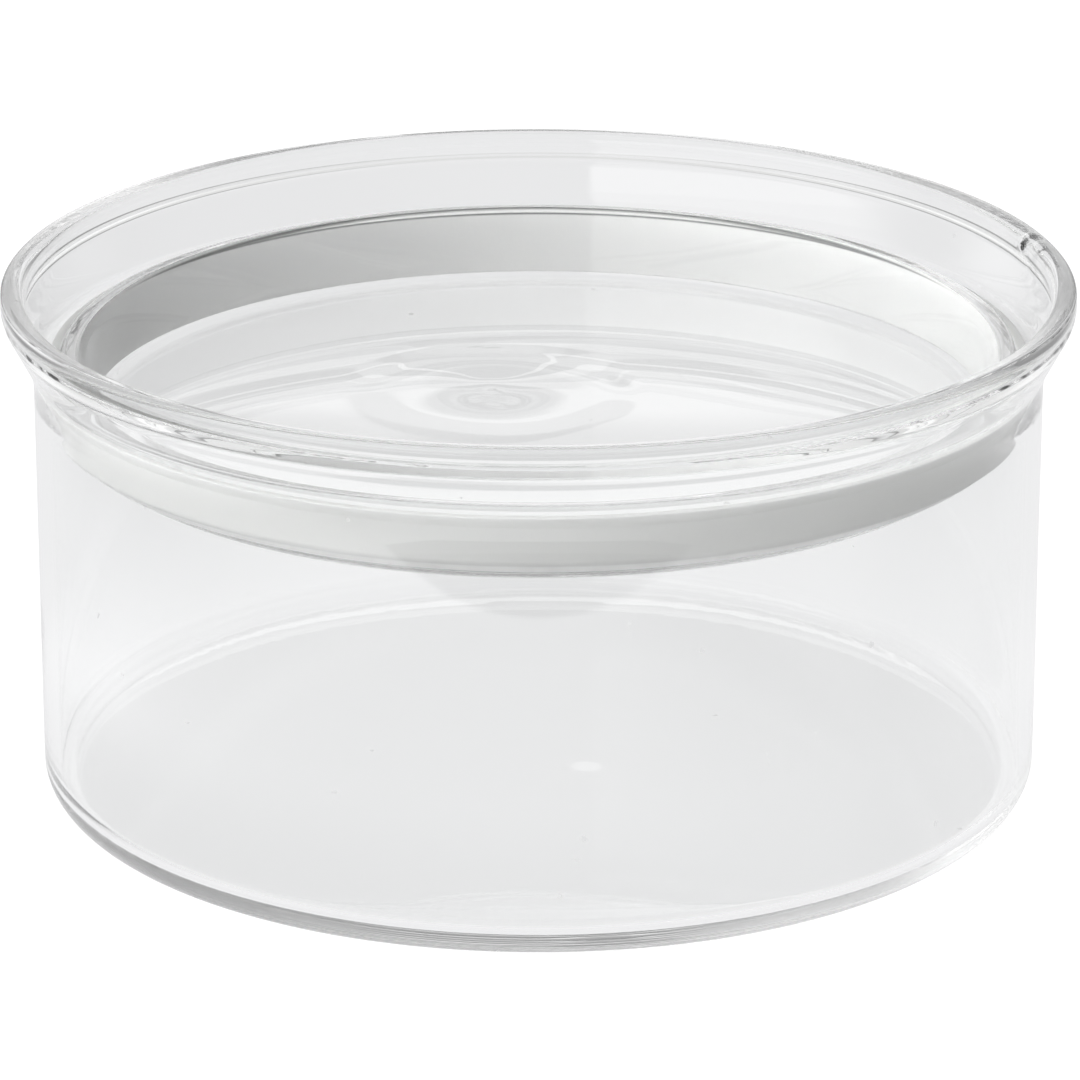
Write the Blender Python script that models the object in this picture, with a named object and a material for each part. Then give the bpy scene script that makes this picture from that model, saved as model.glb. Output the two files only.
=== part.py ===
"""Crystallizing dish with a lift-off glass lid and a soft seal ring.

Every piece is a turned body about the Z axis. The origin is the centre of the
flat underside, +Z is up, and lengths are in metres.
"""

import math

import bmesh
import bpy
from mathutils import Vector

MM = 0.001
SEGMENTS = 64                 # facets round each turned piece
ARC_STEP = math.radians(18)   # widest turn of one facet along a rounded corner
EDGE_STEP = math.radians(45)  # the same on an edge rounded by less than EDGE_LIMIT
EDGE_LIMIT = 0.5 * MM
GAP = 0.25 * MM               # room between neighbouring pieces

# The dish: a straight wall, a flared mouth and a rounded lip.
BODY_R = 70.0 * MM
WALL = 2.2 * MM
FLOOR_T = 2.4 * MM
FOOT_FILLET = 3.8 * MM
FLOOR_FILLET = 3.0 * MM
NECK_Z = 61.1 * MM            # height where the wall's line meets the flare's line
FLARE_ANGLE = math.radians(27.5)
NECK_BEND = 11.0 * MM
NECK_INNER_BEND = 20.0 * MM
SHOULDER_BEND = 3.7 * MM
RIM_R = 74.3 * MM
RIM_Z = 72.6 * MM
RIM_T = 3.5 * MM
RIM_OUTER_FILLET = 1.15 * MM
RIM_INNER_FILLET = 1.95 * MM
BEAD_Z = 69.75 * MM           # height where the lip's inner side starts to lean back
BEAD_BEND = 2.2 * MM
VALLEY_R = 71.4 * MM          # radius of the shallow valley under the lip
VALLEY_BEND = 1.6 * MM

# The lid: a shallow cup, open upwards, that sits in the dish's neck.
LID_RIM_Z = 63.15 * MM
LID_RIM_R = 66.3 * MM
LID_RIM_T = 2.4 * MM
LID_FLOOR_Z = 53.0 * MM       # top face of its floor
LID_FLOOR_R = 61.6 * MM       # radius at the foot of its inner wall
LID_T = 2.1 * MM
LID_FOOT_R = 63.9 * MM        # radius at the foot of its outer wall
LID_OUTER_FILLET = 3.6 * MM
LID_INNER_FILLET = 1.2 * MM
LID_RIM_FILLET = 0.8 * MM

# The seal ring: a soft sleeve round the lid, chamfered below, with a thin lip on top.
SEAL_FOOT_Z = 53.0 * MM
SEAL_FOOT_R = 65.2 * MM
SEAL_CHAMFER_R = 67.2 * MM
SEAL_CHAMFER_Z = 54.8 * MM
SEAL_CHAMFER_BEND = 1.2 * MM
SEAL_SLEEVE_Z = 60.0 * MM     # top of the plain sleeve
SEAL_LIP_R = 68.15 * MM
SEAL_LIP_T = 0.8 * MM
SEAL_LIP_LEAN = 0.2 * MM      # how far the lip's edge leans out over its thickness
SEAL_TOP_Z = 61.7 * MM
SEAL_EDGE_FILLET = 0.25 * MM


def clear_scene():
    for obj in list(bpy.data.objects):
        bpy.data.objects.remove(obj, do_unlink=True)


def rounded_profile(corners):
    """Points of a line through (radius, height, fillet) corners, each corner rounded by its fillet."""
    points = []
    for i, (r, z, fillet) in enumerate(corners):
        corner = Vector((r, z))
        if fillet == 0:
            points.append(corner)
            continue
        before = (Vector(corners[i - 1][:2]) - corner).normalized()
        after = (Vector(corners[(i + 1) % len(corners)][:2]) - corner).normalized()
        half = before.angle(after) / 2
        turn = math.pi - 2 * half
        centre = corner + (before + after).normalized() * fillet / math.sin(half)
        start = corner + before * fillet / math.tan(half) - centre
        side = math.copysign(1, before.x * after.y - before.y * after.x)
        steps = max(2, math.ceil(turn / (EDGE_STEP if fillet < EDGE_LIMIT else ARC_STEP)))
        for k in range(steps + 1):
            angle = -side * turn * k / steps
            cos, sin = math.cos(angle), math.sin(angle)
            points.append(centre + Vector((start.x * cos - start.y * sin, start.x * sin + start.y * cos)))
    return points


def turned_body(name, points, ring, material):
    """Object made by turning the profile about Z. A ring's profile is a closed loop clear of the axis."""
    mesh = bpy.data.meshes.new(name)
    bm = bmesh.new()
    verts = [bm.verts.new((p.x, 0, p.y)) for p in points]
    edges = [bm.edges.new(pair) for pair in zip(verts, verts[1:])]
    if ring:
        edges.append(bm.edges.new((verts[-1], verts[0])))
    bmesh.ops.spin(
        bm,
        geom=verts + edges,
        axis=(0, 0, 1),
        cent=(0, 0, 0),
        angle=2 * math.pi,
        steps=SEGMENTS,
        use_merge=True,
    )
    bmesh.ops.remove_doubles(bm, verts=bm.verts, dist=0.01 * MM)
    bmesh.ops.recalc_face_normals(bm, faces=bm.faces)
    bm.to_mesh(mesh)
    bm.free()
    mesh.shade_smooth()
    mesh.set_sharp_from_angle(angle=math.radians(50))
    mesh.materials.append(material)
    obj = bpy.data.objects.new(name, mesh)
    bpy.context.scene.collection.objects.link(obj)
    return obj


def principled(name, color, roughness, transmission=0.0, ior=1.5):
    material = bpy.data.materials.new(name)
    material.use_nodes = True
    shader = material.node_tree.nodes["Principled BSDF"]
    shader.inputs["Base Color"].default_value = (*color, 1)
    shader.inputs["Roughness"].default_value = roughness
    shader.inputs["Metallic"].default_value = 0.0
    shader.inputs["Transmission Weight"].default_value = transmission
    shader.inputs["IOR"].default_value = ior
    return material


def glass_material(name):
    return principled(name, (0.97, 0.98, 0.975), 0.0, transmission=1.0, ior=1.473)


def silicone_material():
    return principled("seal_silicone", (0.74, 0.755, 0.745), 0.42, ior=1.41)


def make_dish(material):
    """Straight-walled dish whose mouth flares out to a heavy rounded lip."""
    inner_r = BODY_R - WALL
    lip_inner_r = RIM_R - RIM_T
    slope = math.tan(FLARE_ANGLE)
    shoulder_z = NECK_Z + (RIM_R - BODY_R) / slope
    # The flare's inner face lies one wall inside its outer face, square to the slope.
    inner_neck_z = NECK_Z + WALL * math.tan(FLARE_ANGLE / 2)
    valley_z = inner_neck_z + (VALLEY_R - inner_r) / slope
    profile = rounded_profile(
        [
            (0, 0, 0),
            (BODY_R, 0, FOOT_FILLET),
            (BODY_R, NECK_Z, NECK_BEND),
            (RIM_R, shoulder_z, SHOULDER_BEND),
            (RIM_R, RIM_Z, RIM_OUTER_FILLET),
            (lip_inner_r, RIM_Z, RIM_INNER_FILLET),
            (lip_inner_r, BEAD_Z, BEAD_BEND),
            (VALLEY_R, valley_z, VALLEY_BEND),
            (inner_r, inner_neck_z, NECK_INNER_BEND),
            (inner_r, FLOOR_T, FLOOR_FILLET),
            (0, FLOOR_T, 0),
        ]
    )
    return turned_body("dish", profile, False, material)


def lid_outer_radius(z):
    """Radius of the lid's tapered outer wall at a height."""
    foot_z = LID_FLOOR_Z - LID_T
    return LID_FOOT_R + (LID_RIM_R - LID_FOOT_R) * (z - foot_z) / (LID_RIM_Z - foot_z)


def make_lid(material):
    """Shallow cup with a flat floor, a tapered wall and a fire-polished rim."""
    foot_z = LID_FLOOR_Z - LID_T
    profile = rounded_profile(
        [
            (0, foot_z, 0),
            (LID_FOOT_R, foot_z, LID_OUTER_FILLET),
            (LID_RIM_R, LID_RIM_Z, LID_RIM_FILLET),
            (LID_RIM_R - LID_RIM_T, LID_RIM_Z, LID_RIM_FILLET),
            (LID_FLOOR_R, LID_FLOOR_Z, LID_INNER_FILLET),
            (0, LID_FLOOR_Z, 0),
        ]
    )
    return turned_body("lid", profile, False, material)


def make_seal_ring(material):
    """Sleeve that fills the space between the lid's wall and the dish's neck."""
    sleeve_r = BODY_R - WALL - GAP
    profile = rounded_profile(
        [
            (lid_outer_radius(SEAL_FOOT_Z) + GAP, SEAL_FOOT_Z, SEAL_EDGE_FILLET),
            (SEAL_FOOT_R, SEAL_FOOT_Z, SEAL_EDGE_FILLET),
            (SEAL_CHAMFER_R, SEAL_CHAMFER_Z, SEAL_CHAMFER_BEND),
            (sleeve_r, SEAL_SLEEVE_Z, SEAL_EDGE_FILLET),
            (SEAL_LIP_R - SEAL_LIP_LEAN, SEAL_TOP_Z - SEAL_LIP_T, SEAL_EDGE_FILLET),
            (SEAL_LIP_R, SEAL_TOP_Z, SEAL_EDGE_FILLET),
            (lid_outer_radius(SEAL_TOP_Z) + GAP, SEAL_TOP_Z, SEAL_EDGE_FILLET),
        ]
    )
    return turned_body("seal_ring", profile, True, material)


clear_scene()
make_dish(glass_material("dish_glass"))
make_lid(glass_material("lid_glass"))
make_seal_ring(silicone_material())
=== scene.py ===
import math

import bpy
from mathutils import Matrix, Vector, noise


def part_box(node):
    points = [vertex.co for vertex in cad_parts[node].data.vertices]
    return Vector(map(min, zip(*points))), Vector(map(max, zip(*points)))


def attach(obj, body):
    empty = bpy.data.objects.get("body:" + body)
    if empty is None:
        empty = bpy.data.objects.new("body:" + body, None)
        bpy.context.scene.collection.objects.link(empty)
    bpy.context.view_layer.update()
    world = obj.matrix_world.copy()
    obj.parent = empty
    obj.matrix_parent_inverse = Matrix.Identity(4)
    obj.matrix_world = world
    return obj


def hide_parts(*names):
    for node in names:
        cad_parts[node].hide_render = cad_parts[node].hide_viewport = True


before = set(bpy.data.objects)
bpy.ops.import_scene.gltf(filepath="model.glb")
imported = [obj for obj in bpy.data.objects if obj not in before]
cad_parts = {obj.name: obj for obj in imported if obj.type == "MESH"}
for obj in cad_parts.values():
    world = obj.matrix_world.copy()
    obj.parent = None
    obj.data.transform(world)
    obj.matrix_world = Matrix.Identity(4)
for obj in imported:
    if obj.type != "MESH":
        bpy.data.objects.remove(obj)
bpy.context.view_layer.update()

MM = 0.001
UP = Vector((0, 0, 1))
ARC_STEP = math.radians(6)    # widest turn of one facet along a rounded corner
RUN_STEP = 1.2 * MM           # longest facet along a straight run

# Turning steps: 1 degree all round, and finer where the rim has its small fused drop.
TURN_STEPS = 360
DROP_ANGLE = math.radians(15.6)
DROP_SPREAD = math.radians(4.5)
DROP_STEPS = 36

# The dish: a straight wall, a flared mouth and a rounded lip.
BODY_R = 70.0 * MM
WALL = 2.2 * MM
FLOOR_T = 2.4 * MM
FOOT_FILLET = 3.8 * MM
FLOOR_FILLET = 3.0 * MM
NECK_Z = 61.1 * MM            # height where the wall's line meets the flare's line
FLARE_ANGLE = math.radians(27.5)
NECK_BEND = 11.0 * MM
NECK_INNER_BEND = 20.0 * MM
SHOULDER_BEND = 3.7 * MM
RIM_T = 3.5 * MM
RIM_OUTER_FILLET = 1.15 * MM
RIM_INNER_FILLET = 1.95 * MM
BEAD_Z = 69.75 * MM           # height where the lip's inner side starts to lean back
BEAD_BEND = 2.2 * MM
VALLEY_R = 71.4 * MM          # radius of the shallow valley under the lip
VALLEY_BEND = 1.6 * MM
SEAL_SEAT_Z = 58 * MM         # middle of the stretch of wall that the seal ring touches

# The lid: a shallow cup, open upwards.
LID_T = 2.1 * MM
LID_FOOT_R = 63.9 * MM
LID_RIM_R = 66.3 * MM
LID_RIM_INNER_R = 63.9 * MM
LID_FLOOR_R = 61.6 * MM       # radius at the foot of its inner wall
LID_OUTER_FILLET = 3.6 * MM
LID_INNER_FILLET = 1.2 * MM
LID_RIM_FILLET = 0.8 * MM
GATE = Vector((-6.5 * MM, 10.5 * MM, 0))    # middle of the pressed gate mark in its floor
PIP = Vector((-6.5 * MM, 7.5 * MM, 0))      # middle of the small pip inside the mark

# The seal ring: a sleeve round the lid, chamfered below, with a thin lip on top.
SEAL_FOOT_INNER_R = 64.57 * MM
SEAL_FOOT_R = 65.2 * MM
SEAL_CHAMFER_R = 67.2 * MM
SEAL_CHAMFER_T = 1.8 * MM     # height of the chamfer
SEAL_CHAMFER_BEND = 1.2 * MM
SEAL_SLEEVE_R = 67.55 * MM
SEAL_SLEEVE_Z = 60.0 * MM     # top of the plain sleeve
SEAL_LIP_T = 0.8 * MM
SEAL_LIP_LEAN = 0.2 * MM
SEAL_TOP_INNER_R = 66.27 * MM
SEAL_EDGE_FILLET = 0.25 * MM

DIP = Vector((6.5 * MM, -9 * MM, 0))        # middle of a small shallow dip in the dish's floor

GLASS_IOR = 1.473
SILICONE_IOR = 1.41
LIGHT_BOUNCES = 160           # enough for light caught inside the glass to find its way out


# ---------------------------------------------------------------- turned shapes

def rounded_profile(corners):
    """Points of a line through (radius, height, fillet) corners, rounded and closely spaced."""
    bends = []
    for i, (r, z, fillet) in enumerate(corners):
        corner = Vector((r, z))
        if fillet == 0:
            bends.append([corner])
            continue
        before = (Vector(corners[i - 1][:2]) - corner).normalized()
        after = (Vector(corners[(i + 1) % len(corners)][:2]) - corner).normalized()
        half = before.angle(after) / 2
        turn = math.pi - 2 * half
        centre = corner + (before + after).normalized() * fillet / math.sin(half)
        start = corner + before * fillet / math.tan(half) - centre
        side = math.copysign(1, before.x * after.y - before.y * after.x)
        steps = max(4, math.ceil(turn / ARC_STEP))
        bend = []
        for k in range(steps + 1):
            angle = -side * turn * k / steps
            cos, sin = math.cos(angle), math.sin(angle)
            bend.append(centre + Vector((start.x * cos - start.y * sin, start.x * sin + start.y * cos)))
        bends.append(bend)
    points = []
    for bend in bends:
        if points:
            run = bend[0] - points[-1]
            count = math.ceil(run.length / RUN_STEP)
            points += [points[-1] + run * (k / count) for k in range(1, count)]
        points += bend
    return points


def outward_directions(points, ring):
    """Unit direction out of the solid at each point of a profile that runs with the solid on its left."""
    directions = []
    last = len(points) - 1
    for i in range(len(points)):
        before = points[i - 1] if i > 0 or ring else points[i]
        after = points[(i + 1) % len(points)] if i < last or ring else points[i]
        along = (after - before).normalized()
        directions.append(Vector((along.y, -along.x)))
    return directions


def turn_angles():
    even = [2 * math.pi * k / TURN_STEPS for k in range(TURN_STEPS)]
    far = [a for a in even if abs(a - DROP_ANGLE) > DROP_SPREAD]
    near = [DROP_ANGLE + DROP_SPREAD * (2 * k / DROP_STEPS - 1) for k in range(DROP_STEPS + 1)]
    return sorted(far + near)


def turned_piece(name, points, ring, swell, material):
    """Mesh made by turning the profile about Z, each point then moved outwards by swell(place, out)."""
    angles = turn_angles()
    count = len(angles)
    verts, rings = [], []
    for p, n in zip(points, outward_directions(points, ring)):
        if p.x < 0.0001 * MM:
            rings.append([len(verts)])
            out = UP * math.copysign(1, n.y)
            place = UP * p.y
            verts.append(place + out * swell(place, out))
            continue
        rings.append(range(len(verts), len(verts) + count))
        for a in angles:
            around = Vector((math.cos(a), math.sin(a), 0))
            place = around * p.x + UP * p.y
            out = around * n.x + UP * n.y
            verts.append(place + out * swell(place, out))
    pairs = list(zip(rings, rings[1:]))
    if ring:
        pairs.append((rings[-1], rings[0]))
    faces = []
    for lower, upper in pairs:
        for k in range(count):
            n = (k + 1) % count
            if len(lower) == 1:
                faces.append((lower[0], upper[n], upper[k]))
            elif len(upper) == 1:
                faces.append((lower[k], lower[n], upper[0]))
            else:
                faces.append((lower[k], lower[n], upper[n], upper[k]))
    mesh = bpy.data.meshes.new(name)
    mesh.from_pydata(verts, [], faces)
    mesh.shade_smooth()
    mesh.materials.append(material)
    obj = bpy.data.objects.new(name, mesh)
    bpy.context.scene.collection.objects.link(obj)
    return obj


# ---------------------------------------------------------------- unevenness of hand-worked glass

def wave(place, size, seed):
    """Slow, smooth unevenness between -1 and 1, with swells about as wide as size."""
    return noise.noise(place / size + Vector((seed, 2.3 * seed, -seed)))


def hump(distance, width):
    """1 at no distance, falling smoothly to about a third at width."""
    return math.exp(-((distance / width) ** 2))


def fade(value, start, end):
    """0 at start, 1 at end, smooth between them."""
    t = min(max((value - start) / (end - start), 0), 1)
    return t * t * (3 - 2 * t)


def level_distance(place, other):
    return math.hypot(place.x - other.x, place.y - other.y)


def is_inner(place, out):
    """True where the surface faces the axis."""
    return place.x * out.x + place.y * out.y < 0


def dish_swell(place, out):
    """Slow swells of the dish's walls and floor, and the small drop fused onto its lip."""
    low, high = node_boxes["dish"]
    height = place.z - low.z
    if height < 0.4 * MM:
        return 0
    radius = math.hypot(place.x, place.y)
    if out.z > 0.9 and height < 6 * MM:
        middle = level_distance(place, DIP)
        ease = 1 - fade(radius, 60 * MM, 66 * MM)
        flow = 0.07 * wave(place, 30 * MM, 3) - 0.09 * hump(middle, 4.5 * MM)
        return flow * MM * ease
    off_seat = fade(abs(height - SEAL_SEAT_Z), 5 * MM, 9 * MM)
    size = 24 * MM
    if is_inner(place, out):
        swell = 0.025 * wave(place, size, 7) * (0.3 + 0.7 * off_seat)
    else:
        swell = 0.04 * wave(place, size, 11) * fade(height, 0, 8 * MM)
    rim = fade(high.z - height, 6 * MM, 3 * MM)
    swell += 0.012 * rim * wave(place, 24 * MM, 5)
    if is_inner(place, out) and rim > 0:
        turn = math.atan2(place.y, place.x) - DROP_ANGLE
        along = turn * radius
        swell += 0.30 * hump(along, 1.0 * MM) * hump(high.z - height - 1.4 * MM, 1.2 * MM)
        swell -= 0.10 * hump(along + 2.4 * MM, 1.2 * MM) * rim
    return swell * MM


def lid_swell(place, out):
    """The lid's slow ripples, with the gate mark pressed into its floor."""
    height = place.z - node_boxes["lid"][0].z
    radius = math.hypot(place.x, place.y)
    if out.z > 0.9 and height < 4 * MM:
        warp = 1 + 0.16 * wave(place, 12 * MM, 21)
        middle = level_distance(place, GATE) * warp
        pip = level_distance(place, PIP) * warp
        ease = 1 - fade(radius, 56 * MM, 60 * MM)
        flow = 0.05 * wave(place, 34 * MM, 13)
        gate = 0.22 * hump(middle, 6.5 * MM) - 0.06 * hump(pip, 1.6 * MM)
        gate += 0.008 * math.cos(middle / (1.5 * MM)) * hump(middle, 9 * MM)
        gate -= 0.06 * (1 - fade(middle, 15 * MM, 21 * MM))
        return (flow + gate) * MM * ease
    if out.z < -0.9:
        return 0.04 * wave(place, 30 * MM, 17) * MM * (1 - fade(radius, 52 * MM, 60 * MM))
    if is_inner(place, out):
        return 0.04 * wave(place, 20 * MM, 19) * MM
    return 0.02 * wave(place, 20 * MM, 23) * MM


def seal_swell(place, out):
    return 0.02 * wave(place, 16 * MM, 29) * MM


# ---------------------------------------------------------------- materials

def new_material(name):
    material = bpy.data.materials.new(name)
    material.use_nodes = True
    return material, material.node_tree.nodes, material.node_tree.links


def add_noise(nodes, links, place, scale, detail):
    texture = nodes.new("ShaderNodeTexNoise")
    texture.inputs["Scale"].default_value = scale
    texture.inputs["Detail"].default_value = detail
    links.new(place, texture.inputs["Vector"])
    return texture.outputs["Fac"]


def add_range(nodes, links, value, from_min, from_max, to_min, to_max):
    spread = nodes.new("ShaderNodeMapRange")
    spread.interpolation_type = "SMOOTHSTEP"
    spread.inputs["From Min"].default_value = from_min
    spread.inputs["From Max"].default_value = from_max
    spread.inputs["To Min"].default_value = to_min
    spread.inputs["To Max"].default_value = to_max
    links.new(value, spread.inputs["Value"])
    return spread.outputs["Result"]


def add_math(nodes, links, operation, a, b):
    """A Math node. a and b are sockets or numbers."""
    node = nodes.new("ShaderNodeMath")
    node.operation = operation
    for value, socket in zip((a, b), node.inputs):
        if isinstance(value, (int, float)):
            socket.default_value = value
        else:
            links.new(value, socket)
    return node.outputs[0]


def add_square_sum(nodes, links, x, y):
    """x * x + y * y, the square of the distance from the axis."""
    x_square = add_math(nodes, links, "MULTIPLY", x, x)
    y_square = add_math(nodes, links, "MULTIPLY", y, y)
    return add_math(nodes, links, "ADD", x_square, y_square)


def add_mix(nodes, links, share, a, b):
    """A mix of the numbers or sockets a and b."""
    node = nodes.new("ShaderNodeMix")
    node.data_type = "FLOAT"
    for value, socket in ((share, node.inputs["Factor"]), (a, node.inputs["A"]), (b, node.inputs["B"])):
        if isinstance(value, (int, float)):
            socket.default_value = value
        else:
            links.new(value, socket)
    return node.outputs["Result"]


def add_bump(nodes, links, height, depth):
    """A Bump node whose full height is depth metres."""
    bump = nodes.new("ShaderNodeBump")
    bump.inputs["Strength"].default_value = 1.0
    bump.inputs["Distance"].default_value = depth
    links.new(height, bump.inputs["Height"])
    return bump.outputs["Normal"]


def glass_material(name):
    """Clear borosilicate glass: fine draw lines round it, a few dull specks and a faint smudged film."""
    material, nodes, links = new_material(name)
    shader = nodes["Principled BSDF"]
    shader.inputs["Base Color"].default_value = (0.988, 0.991, 0.989, 1)
    shader.inputs["IOR"].default_value = GLASS_IOR
    shader.inputs["Transmission Weight"].default_value = 1.0
    where = nodes.new("ShaderNodeTexCoord").outputs["Object"]
    stretch = nodes.new("ShaderNodeMapping")
    stretch.inputs["Scale"].default_value = (1, 1, 22)
    links.new(where, stretch.inputs["Vector"])
    lines = add_noise(nodes, links, stretch.outputs["Vector"], 26, 2)
    # The lines lie on the straight walls only: the foot and the mouth are smooth.
    height = nodes.new("ShaderNodeSeparateXYZ")
    links.new(where, height.inputs[0])
    above_foot = add_range(nodes, links, height.outputs["Z"], 4 * MM, 10 * MM, 0.0, 1.0)
    below_mouth = add_range(nodes, links, height.outputs["Z"], 50 * MM, 58 * MM, 1.0, 0.0)
    straight = add_math(nodes, links, "MULTIPLY", above_foot, below_mouth)
    lines = add_math(nodes, links, "MULTIPLY", lines, straight)
    normal = add_bump(nodes, links, lines, 0.003 * MM)
    links.new(normal, shader.inputs["Normal"])
    specks = nodes.new("ShaderNodeTexVoronoi")
    specks.inputs["Scale"].default_value = 75
    links.new(where, specks.inputs["Vector"])
    speck = add_range(nodes, links, specks.outputs["Distance"], 0.025, 0.045, 0.35, 0.0)
    smudge = add_noise(nodes, links, where, 22, 3)
    film = add_range(nodes, links, smudge, 0.62, 0.80, 0.0, 0.05)
    links.new(add_math(nodes, links, "MAXIMUM", speck, film), shader.inputs["Roughness"])
    return material


def silicone_material(name):
    """Milky moulded silicone: slightly cloudy, satin, with a fine moulded grain."""
    material, nodes, links = new_material(name)
    shader = nodes["Principled BSDF"]
    where = nodes.new("ShaderNodeTexCoord").outputs["Object"]
    cloud = add_noise(nodes, links, where, 60, 3)
    tone = nodes.new("ShaderNodeMix")
    tone.data_type = "RGBA"
    tone.inputs["A"].default_value = (0.745, 0.75, 0.74, 1)
    tone.inputs["B"].default_value = (0.79, 0.795, 0.785, 1)
    links.new(cloud, tone.inputs["Factor"])
    # A dark colour stands for the shade in the crevice at the top of the inner face, round the glass.
    split = nodes.new("ShaderNodeSeparateXYZ")
    links.new(where, split.inputs[0])
    x, y, z = (split.outputs[axis] for axis in "XYZ")
    away = add_square_sum(nodes, links, x, y)
    inner = add_range(nodes, links, away, (66.25 * MM) ** 2, (66.50 * MM) ** 2, 1.0, 0.0)
    upper = add_range(nodes, links, z, 61.3 * MM, 61.6 * MM, 0.0, 1.0)
    shade = nodes.new("ShaderNodeMix")
    shade.data_type = "RGBA"
    shade.inputs["B"].default_value = (0.22, 0.223, 0.22, 1)
    links.new(add_math(nodes, links, "MULTIPLY", inner, upper), shade.inputs["Factor"])
    # Painted light: the inner face is painted paler than the outer one, to balance the soft studio light on
    # it.
    paler = nodes.new("ShaderNodeMix")
    paler.data_type = "RGBA"
    paler.inputs["B"].default_value = (0.95, 0.955, 0.945, 1)
    inner_painted_light = add_range(nodes, links, away, (66.4 * MM) ** 2, (66.8 * MM) ** 2, 1.0, 0.0)
    links.new(inner_painted_light, paler.inputs["Factor"])
    links.new(tone.outputs["Result"], paler.inputs["A"])
    links.new(paler.outputs["Result"], shade.inputs["A"])
    links.new(shade.outputs["Result"], shader.inputs["Base Color"])
    shader.inputs["IOR"].default_value = SILICONE_IOR
    shader.inputs["Subsurface Weight"].default_value = 0.5
    shader.inputs["Subsurface Radius"].default_value = (1.0, 1.0, 1.0)
    shader.inputs["Subsurface Scale"].default_value = 1.5 * MM
    grain = add_noise(nodes, links, where, 2500, 1)
    rough = add_noise(nodes, links, where, 140, 2)
    links.new(add_range(nodes, links, rough, 0.3, 0.7, 0.36, 0.50), shader.inputs["Roughness"])
    links.new(add_bump(nodes, links, grain, 0.01 * MM), shader.inputs["Normal"])
    return material


# ---------------------------------------------------------------- the pieces

def dish_profile():
    low, high = node_boxes["dish"]
    rim_r, rim_z = high.x, high.z
    slope = math.tan(FLARE_ANGLE)
    lip_r = rim_r - RIM_T
    inner_r = BODY_R - WALL
    # The flare's inner face lies one wall inside its outer face, square to the slope.
    inner_neck_z = NECK_Z + WALL * math.tan(FLARE_ANGLE / 2)
    return rounded_profile(
        [
            (0, low.z, 0),
            (BODY_R, low.z, FOOT_FILLET),
            (BODY_R, NECK_Z, NECK_BEND),
            (rim_r, NECK_Z + (rim_r - BODY_R) / slope, SHOULDER_BEND),
            (rim_r, rim_z, RIM_OUTER_FILLET),
            (lip_r, rim_z, RIM_INNER_FILLET),
            (lip_r, BEAD_Z, BEAD_BEND),
            (VALLEY_R, inner_neck_z + (VALLEY_R - inner_r) / slope, VALLEY_BEND),
            (inner_r, inner_neck_z, NECK_INNER_BEND),
            (inner_r, low.z + FLOOR_T, FLOOR_FILLET),
            (0, low.z + FLOOR_T, 0),
        ]
    )


def lid_profile():
    low, high = node_boxes["lid"]
    return rounded_profile(
        [
            (0, low.z, 0),
            (LID_FOOT_R, low.z, LID_OUTER_FILLET),
            (LID_RIM_R, high.z, LID_RIM_FILLET),
            (LID_RIM_INNER_R, high.z, LID_RIM_FILLET),
            (LID_FLOOR_R, low.z + LID_T, LID_INNER_FILLET),
            (0, low.z + LID_T, 0),
        ]
    )


def seal_profile():
    low, high = node_boxes["seal_ring"]
    lip_r = high.x
    return rounded_profile(
        [
            (SEAL_FOOT_INNER_R, low.z, SEAL_EDGE_FILLET),
            (SEAL_FOOT_R, low.z, SEAL_EDGE_FILLET),
            (SEAL_CHAMFER_R, low.z + SEAL_CHAMFER_T, SEAL_CHAMFER_BEND),
            (SEAL_SLEEVE_R, SEAL_SLEEVE_Z, SEAL_EDGE_FILLET),
            (lip_r - SEAL_LIP_LEAN, high.z - SEAL_LIP_T, SEAL_EDGE_FILLET),
            (lip_r, high.z, SEAL_EDGE_FILLET),
            (SEAL_TOP_INNER_R, high.z, SEAL_EDGE_FILLET),
        ]
    )


def add_piece(name, profile, ring, swell, material, node):
    """A turned piece that stands for the CAD node of the body with the same name."""
    piece = turned_piece(name, profile, ring, swell, material)
    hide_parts(node)
    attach(piece, node)


# ---------------------------------------------------------------- studio

# Greys of the table, as the glass sees it.
FLOOR_GREY = 0.90             # under and in front of the dish
BEHIND_GREY = 0.87            # behind it
NEAR_GREY = 2.0               # the lit stretch at the front left, in first reflections only
SIDE_GREY = 1.0               # the same further out
SIDE_DIM = 0.35               # how far the table dims towards its sides
FRONT_GREY = 0.3              # in front of the lit stretch
FAR_GREY = 0.7                # further in front still

# Brightness of the room, as the glass sees it.
BACK_FOOT = 0.78              # the back wall at the table
BACK_LOW = 1.12               # its lower part
BACK_HIGH = 0.45              # its upper part
FRONT = 0.30                  # the front of the room
HORIZON = 0.2                 # added near the front horizon
TOP = 0.12                    # the ceiling
RIGHT = 0.4                   # how far the room dims towards the right
PANEL_LOW = 0.8               # the light panel
PANEL_HIGH = 0.6              # added over its upper part

# Soft light that falls on the silicone.
SOFT_LEFT = 3.8               # from the left
SOFT_RIGHT = 0.15             # from the right
SOFT_TOP = 0.55               # added from above
SOFT_BARE = 0.6               # share of it where no glass is in the way
SOFT_CEILING = 0.45           # share of it that comes from overhead

CAMERA_ELEVATION = math.radians(19.75)
CAMERA_DISTANCE = 0.84
CAMERA_TARGET = Vector((0, 0, 35.5 * MM))
CAMERA_LENS = 199.4           # millimetres, on a sensor 36 mm wide
CAMERA_SHIFT_X = 0.0014
CAMERA_SHIFT_Y = -0.0117


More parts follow.
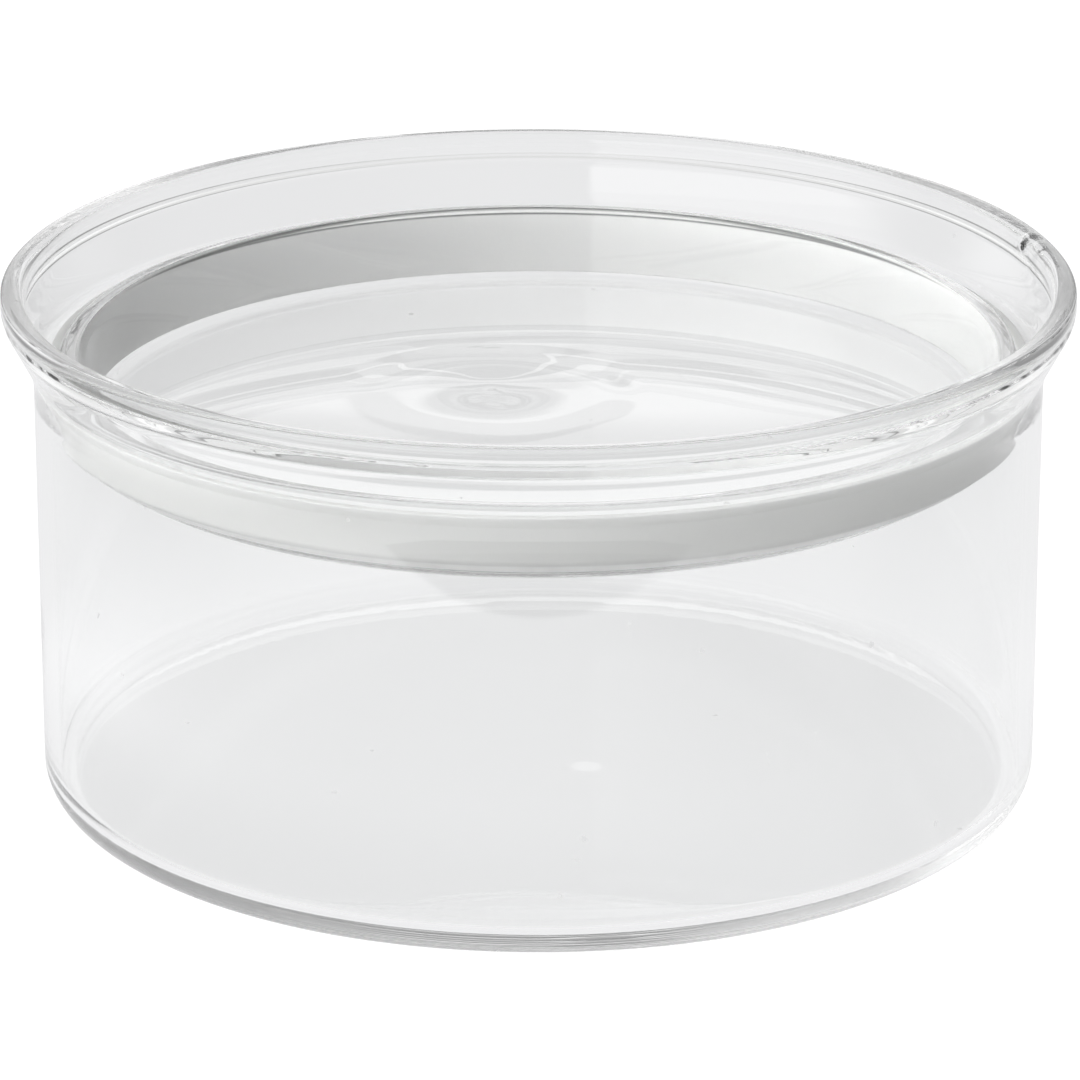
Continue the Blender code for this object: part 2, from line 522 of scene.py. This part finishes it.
def make_floor():
    """A pale table. The camera sees it white, and the glass sees its greys."""
    bpy.ops.mesh.primitive_circle_add(vertices=96, radius=8, fill_type="NGON", location=(0, 0, -0.2 * MM))
    floor = bpy.context.object
    floor.name = "studio_floor"
    material, nodes, links = new_material("floor_white")
    shader = nodes["Principled BSDF"]
    shader.inputs["Base Color"].default_value = (0.3, 0.3, 0.3, 1)
    shader.inputs["Roughness"].default_value = 1.0
    shader.inputs["Specular IOR Level"].default_value = 0.0
    shader.inputs["Emission Color"].default_value = (1, 1, 1, 1)
    shader.inputs["Emission Strength"].default_value = 0.9
    place = nodes.new("ShaderNodeNewGeometry").outputs["Position"]
    split = nodes.new("ShaderNodeSeparateXYZ")
    links.new(place, split.inputs[0])
    ray = nodes.new("ShaderNodeLightPath")
    soft = add_math(nodes, links, "GREATER_THAN", ray.outputs["Diffuse Depth"], 0.5)
    x, y = split.outputs["X"], split.outputs["Y"]
    away = add_square_sum(nodes, links, x, y)
    round_it = add_range(nodes, links, away, 0.080**2, 0.125**2, 0.0, 1.0)
    front = add_range(nodes, links, y, -0.03, 0.06, 1.0, 0.0)
    lit_left = add_range(nodes, links, x, -0.22, -0.11, SIDE_GREY, NEAR_GREY)
    lit_right = add_range(nodes, links, x, 0.0, 0.13, 0.0, 1.0)
    lit = add_mix(nodes, links, lit_right, lit_left, SIDE_GREY)
    first = add_math(nodes, links, "LESS_THAN", ray.outputs["Transmission Depth"], 0.5)
    lit_share = add_math(nodes, links, "MULTIPLY", round_it, front)
    lit_share = add_math(nodes, links, "MULTIPLY", lit_share, first)
    low_grey = add_range(nodes, links, y, 0.03, 0.09, FLOOR_GREY, BEHIND_GREY)
    near = add_mix(nodes, links, lit_share, low_grey, lit)
    x_square = add_math(nodes, links, "MULTIPLY", x, x)
    sides = add_range(nodes, links, x_square, 0.15**2, 0.26**2, 1.0, SIDE_DIM)
    near = add_math(nodes, links, "MULTIPLY", near, sides)
    near = add_mix(nodes, links, soft, near, 1.0)
    beyond = add_range(nodes, links, y, -0.42, -0.32, FAR_GREY, FRONT_GREY)
    edge = add_range(nodes, links, y, -0.200, -0.196, 0.0, 1.0)
    grey_level = add_mix(nodes, links, edge, beyond, near)
    grey = nodes.new("ShaderNodeEmission")
    grey.inputs["Color"].default_value = (0.99, 0.99, 1.0, 1)
    links.new(grey_level, grey.inputs["Strength"])
    seen = nodes.new("ShaderNodeMixShader")
    links.new(ray.outputs["Is Camera Ray"], seen.inputs[0])
    links.new(grey.outputs[0], seen.inputs[1])
    links.new(shader.outputs[0], seen.inputs[2])
    links.new(seen.outputs[0], nodes["Material Output"].inputs["Surface"])
    floor.data.materials.append(material)


def make_world():
    """Soft studio: white to the camera, and to the glass pale at the back and grey in front, with a panel
    of light at the front left. A second, softer light falls on the silicone alone."""
    world = bpy.data.worlds.new("studio")
    bpy.context.scene.world = world
    world.use_nodes = True
    nodes, links = world.node_tree.nodes, world.node_tree.links
    background = nodes["Background"]
    split = nodes.new("ShaderNodeSeparateXYZ")
    links.new(nodes.new("ShaderNodeTexCoord").outputs["Generated"], split.inputs[0])
    x, y, z = (split.outputs[axis] for axis in "XYZ")
    back = add_range(nodes, links, z, 0.05, 0.20, BACK_FOOT - FRONT, BACK_LOW - FRONT)
    over = add_range(nodes, links, z, 0.320, 0.327, 0.0, 1.0)
    back = add_mix(nodes, links, over, back, BACK_HIGH - FRONT)
    behind = add_range(nodes, links, y, 0.25, 0.6, 0.0, 1.0)
    glow = add_range(nodes, links, z, 0.05, 0.25, HORIZON, 0.0)
    base = add_mix(nodes, links, behind, glow, back)
    base = add_math(nodes, links, "ADD", base, FRONT)
    dim = add_range(nodes, links, x, 0.15, 0.70, 1.0, RIGHT)
    base = add_math(nodes, links, "MULTIPLY", base, dim)
    ceiling = add_range(nodes, links, z, 0.60, 0.85, 0.0, 1.0)
    base = add_mix(nodes, links, ceiling, base, TOP)
    turn = add_math(nodes, links, "ARCTAN2", x, add_math(nodes, links, "MULTIPLY", y, -1))
    right = add_range(nodes, links, turn, math.radians(-14.5), math.radians(-12.5), 1.0, 0.0)
    left = add_range(nodes, links, turn, math.radians(-100), math.radians(-78), 0.0, 1.0)
    foot = add_range(nodes, links, z, -0.06, 0.0, 0.0, PANEL_LOW)
    top = add_range(nodes, links, z, 0.68, 0.80, 1.0, 0.0)
    low = add_math(nodes, links, "MULTIPLY", foot, top)
    rise = add_range(nodes, links, z, 0.43, 0.46, 0.0, PANEL_HIGH)
    fall = add_range(nodes, links, z, 0.66, 0.70, 1.0, 0.0)
    high = add_math(nodes, links, "MULTIPLY", rise, fall)
    panel = add_math(nodes, links, "MULTIPLY", right, left)
    panel = add_math(nodes, links, "MULTIPLY", panel, add_math(nodes, links, "ADD", low, high))
    total = add_math(nodes, links, "ADD", base, panel)
    ray = nodes.new("ShaderNodeLightPath")
    side = add_range(nodes, links, x, -0.9, 0.9, SOFT_LEFT, SOFT_RIGHT)
    above = add_range(nodes, links, z, -0.1, 0.6, 0.0, SOFT_TOP)
    soft = add_math(nodes, links, "ADD", side, above)
    overhead = add_range(nodes, links, z, 0.35, 0.80, 1.0, SOFT_CEILING)
    soft = add_math(nodes, links, "MULTIPLY", soft, overhead)
    bare = add_math(nodes, links, "LESS_THAN", ray.outputs["Transmission Depth"], 1.5)
    soft = add_math(nodes, links, "MULTIPLY", soft, add_mix(nodes, links, bare, 1.0, SOFT_BARE))
    scattered = add_math(nodes, links, "GREATER_THAN", ray.outputs["Diffuse Depth"], 0.5)
    lit = add_mix(nodes, links, scattered, total, soft)
    seen = add_mix(nodes, links, ray.outputs["Is Camera Ray"], lit, 1.0)
    links.new(seen, background.inputs["Strength"])
    background.inputs["Color"].default_value = (1, 1, 1, 1)


def make_camera():
    camera = bpy.data.objects.new("camera", bpy.data.cameras.new("camera"))
    bpy.context.scene.collection.objects.link(camera)
    back = Vector((0, -math.cos(CAMERA_ELEVATION), math.sin(CAMERA_ELEVATION)))
    camera.location = CAMERA_TARGET + back * CAMERA_DISTANCE
    camera.rotation_euler = (-back).to_track_quat("-Z", "Y").to_euler()
    camera.data.sensor_width = 36
    camera.data.lens = CAMERA_LENS
    camera.data.shift_x = CAMERA_SHIFT_X
    camera.data.shift_y = CAMERA_SHIFT_Y
    camera.data.clip_start = 0.05
    camera.data.clip_end = 50
    bpy.context.scene.camera = camera


node_boxes = {node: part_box(node) for node in ("dish", "lid", "seal_ring")}
make_camera()
make_floor()
make_world()

add_piece("dish_vessel", dish_profile(), False, dish_swell, glass_material("clear_glass_dish"), "dish")
add_piece("lid_cup", lid_profile(), False, lid_swell, glass_material("clear_glass_lid"), "lid")
add_piece("seal_sleeve", seal_profile(), True, seal_swell, silicone_material("milky_silicone"), "seal_ring")

scene = bpy.context.scene
scene.view_settings.view_transform = "Standard"
scene.cycles.max_bounces = LIGHT_BOUNCES
scene.cycles.transmission_bounces = LIGHT_BOUNCES
scene.cycles.glossy_bounces = LIGHT_BOUNCES
